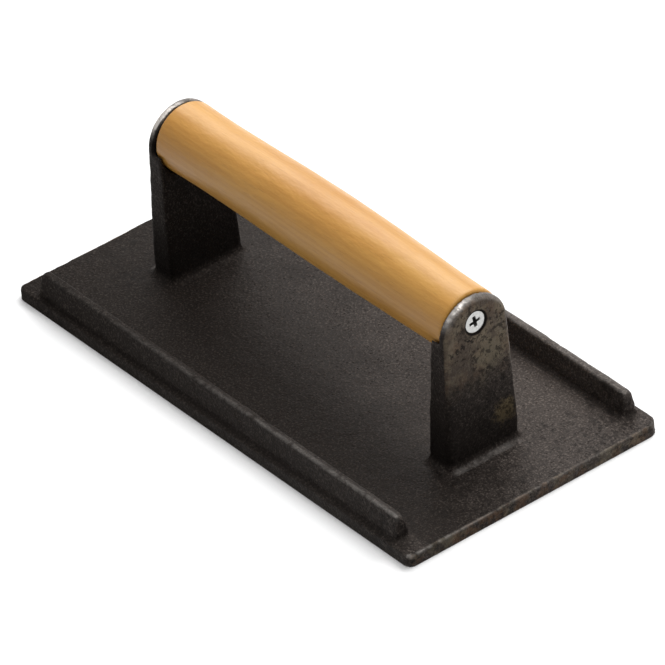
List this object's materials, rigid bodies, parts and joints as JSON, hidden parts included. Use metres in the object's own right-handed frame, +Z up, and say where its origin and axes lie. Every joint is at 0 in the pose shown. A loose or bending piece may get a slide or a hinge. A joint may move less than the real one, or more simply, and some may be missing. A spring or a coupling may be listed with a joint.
{
  "type": "steak press",
  "caption": "Cast-iron steak press: a flat plate with two long rails and two lugs that cradle a turned wooden handle held by countersunk screws.",
  "frame": {"origin": "centre of the flat pressing face, on the surface that the press stands on", "axes": "+X along the length towards the near lug, +Y across the width, +Z up through the handle"},
  "size_m": [0.21, 0.108, 0.0696],
  "materials": {
    "cast_iron_body": "as cast, oiled, dark brown-black, worn bright on the rail tops and lug rims",
    "handle_wood": "satin honey varnish on fine straight-grained hardwood",
    "screw_steel": "bright zinc plate"
  },
  "bodies": {
    "root": {"press_casting": "cast_iron_body", "handle": "handle_wood", "near_screw": "screw_steel", "far_screw": "screw_steel"}
  },
  "joints": []
}
